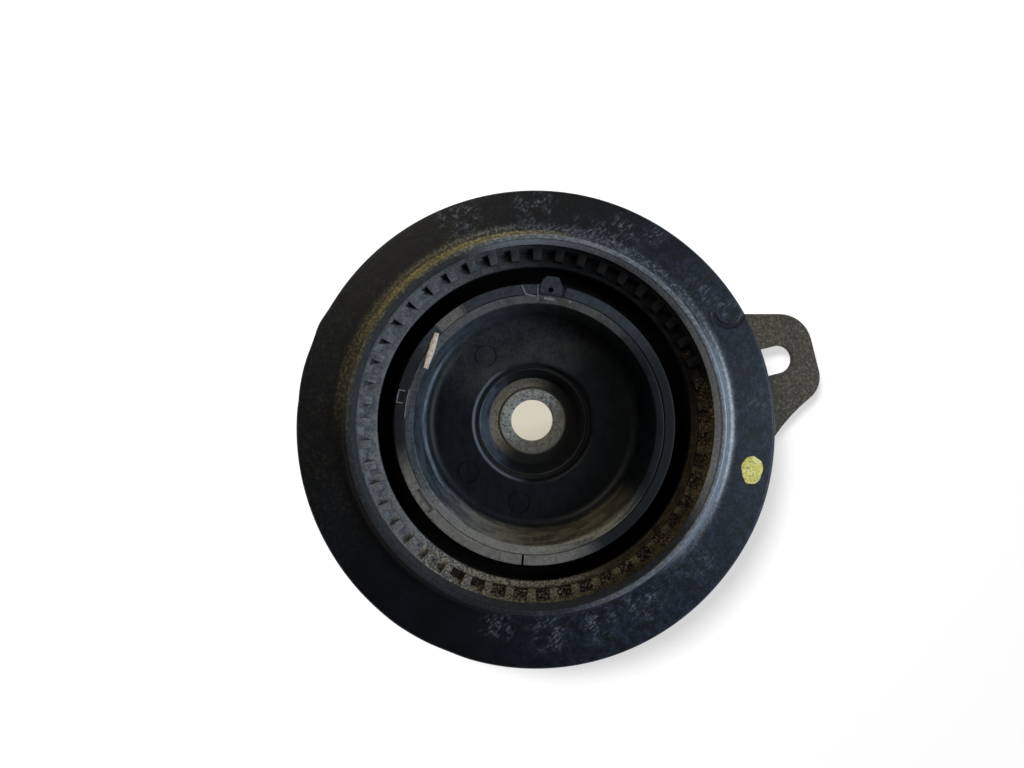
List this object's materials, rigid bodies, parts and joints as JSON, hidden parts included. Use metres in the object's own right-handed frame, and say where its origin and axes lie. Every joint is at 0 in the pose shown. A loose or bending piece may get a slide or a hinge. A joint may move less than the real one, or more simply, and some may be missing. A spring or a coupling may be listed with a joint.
{
  "type": "strut mount",
  "caption": "Front strut top mount with a rubber spring pad, a toothed spring seat on a ball bearing, a bump stop cup and a slotted tab.",
  "frame": {"origin": "on the rod's axis, in the plane of the dome's foot that the mount rests on", "axes": "+Z along the rod's axis towards the spring, +Y along the slotted tab"},
  "size_m": [0.155, 0.1755, 0.039],
  "materials": {
    "plate_steel": "matte",
    "hub_steel": "satin",
    "rubber": "matte",
    "cup_plastic": "satin",
    "seat_plastic": "satin",
    "race_steel": "satin",
    "ball_steel": "polished",
    "cage_plastic": "matte"
  },
  "bodies": {
    "mount": {"top_plate": "plate_steel", "closing_plate": "plate_steel", "core_rubber": "rubber", "hub_sleeve": "hub_steel", "hub_plate": "hub_steel", "bump_cup": "cup_plastic", "clip_ring": "cup_plastic", "mount_race": "race_steel"},
    "seat": {"spring_seat": "seat_plastic", "spring_pad": "rubber", "seat_race": "race_steel", "inner_seal": "rubber", "outer_seal": "rubber"},
    "cage": {"ball_cage": "cage_plastic", "bearing_balls": "ball_steel"}
  },
  "joints": [
    {"name": "seat_turn", "type": "hinge", "parent": "mount", "child": "seat", "pos_m": [0, 0, 0.0182], "axis": [0, 0, 1], "continuous": true},
    {"name": "cage_turn", "type": "hinge", "parent": "mount", "child": "cage", "pos_m": [0, 0, 0.0182], "axis": [0, 0, 1], "continuous": true}
  ],
  "couplings": [
    {"joint": "cage_turn", "follows": "seat_turn", "ratio": 0.5}
  ]
}
